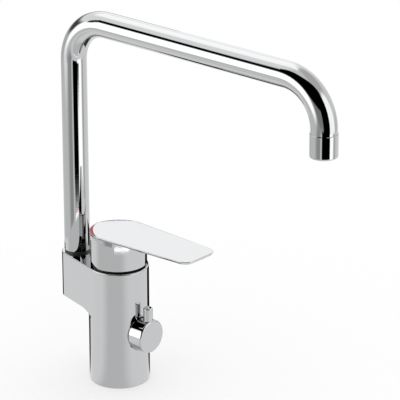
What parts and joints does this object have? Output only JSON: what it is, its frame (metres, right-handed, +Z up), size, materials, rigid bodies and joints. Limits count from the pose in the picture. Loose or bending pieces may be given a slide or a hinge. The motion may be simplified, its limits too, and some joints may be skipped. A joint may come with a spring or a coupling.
{
  "type": "kitchen mixer tap",
  "caption": "Tall kitchen mixer tap with a square-bent swivel spout, a flat top lever on a round body, and a quarter-turn shut-off knob at the front.",
  "frame": {"origin": "centre of the round base, on the worktop face", "axes": "+Z up along the body axis, -Y to the front along the spout and the lever at rest, +X to the cold side"},
  "size_m": [0.052, 0.2949, 0.327],
  "materials": {
    "chrome": "polished chrome plate on brass and zinc",
    "brass": "machined bare brass",
    "ceramic": "lapped, off-white",
    "rubber": "matt black",
    "white_plastic": "moulded, satin white",
    "grey_plastic": "moulded, satin grey",
    "black_plastic": "moulded, satin black",
    "steel": "plain stainless steel",
    "hot_red": "glossy dark red",
    "cold_blue": "glossy dark blue"
  },
  "bodies": {
    "body": {"body_casting": "chrome", "base_gasket": "rubber", "cartridge_housing": "white_plastic", "port_seals": "rubber", "fixed_disc": "ceramic", "cartridge_nut": "brass", "nut_shroud": "black_plastic", "spout_bearing_ring": "grey_plastic", "spout_lock_screw": "steel", "valve_bonnet": "brass", "valve_seat_seal": "rubber", "valve_fixed_disc": "ceramic", "valve_collar": "chrome"},
    "turning_cartridge": {"rotor": "white_plastic", "rotor_seal": "rubber", "stem_pin": "steel"},
    "sliding_disc": {"moving_disc": "ceramic", "disc_carrier": "white_plastic"},
    "lever": {"lever_handle": "chrome", "lever_stem": "brass", "lever_set_screw": "steel", "screw_plug": "chrome", "hot_index": "hot_red", "cold_index": "cold_blue"},
    "spout": {"spout_tube": "chrome", "spout_foot": "brass", "spout_seals": "rubber", "aerator_housing": "chrome", "aerator_insert": "grey_plastic", "aerator_seal": "rubber"},
    "shutoff": {"shutoff_knob": "chrome", "knob_grip": "chrome", "valve_spindle": "brass", "valve_moving_disc": "ceramic", "spindle_seal": "rubber"}
  },
  "joints": [
    {"name": "lever_turn", "type": "hinge", "parent": "body", "child": "turning_cartridge", "pos_m": [0, 0, 0.098], "axis": [0, 0, 1], "range_deg": [-50, 50]},
    {"name": "lever_lift", "type": "hinge", "parent": "turning_cartridge", "child": "lever", "pos_m": [0, 0, 0.103], "axis": [-1, 0, 0], "range_deg": [0, 20]},
    {"name": "disc_slide", "type": "slide", "parent": "turning_cartridge", "child": "sliding_disc", "axis": [0, -1, 0], "range_m": [0, 0.00522]},
    {"name": "spout_swivel", "type": "hinge", "parent": "body", "child": "spout", "pos_m": [0, 0.048, 0.1055], "axis": [0, 0, 1], "range_deg": [-60, 60]},
    {"name": "shutoff_turn", "type": "hinge", "parent": "body", "child": "shutoff", "pos_m": [0, -0.027, 0.0481], "axis": [0, -1, 0], "range_deg": [0, 90]}
  ],
  "couplings": [
    {"joint": "disc_slide", "follows": "lever_lift", "m_per_rad": 0.014795}
  ]
}
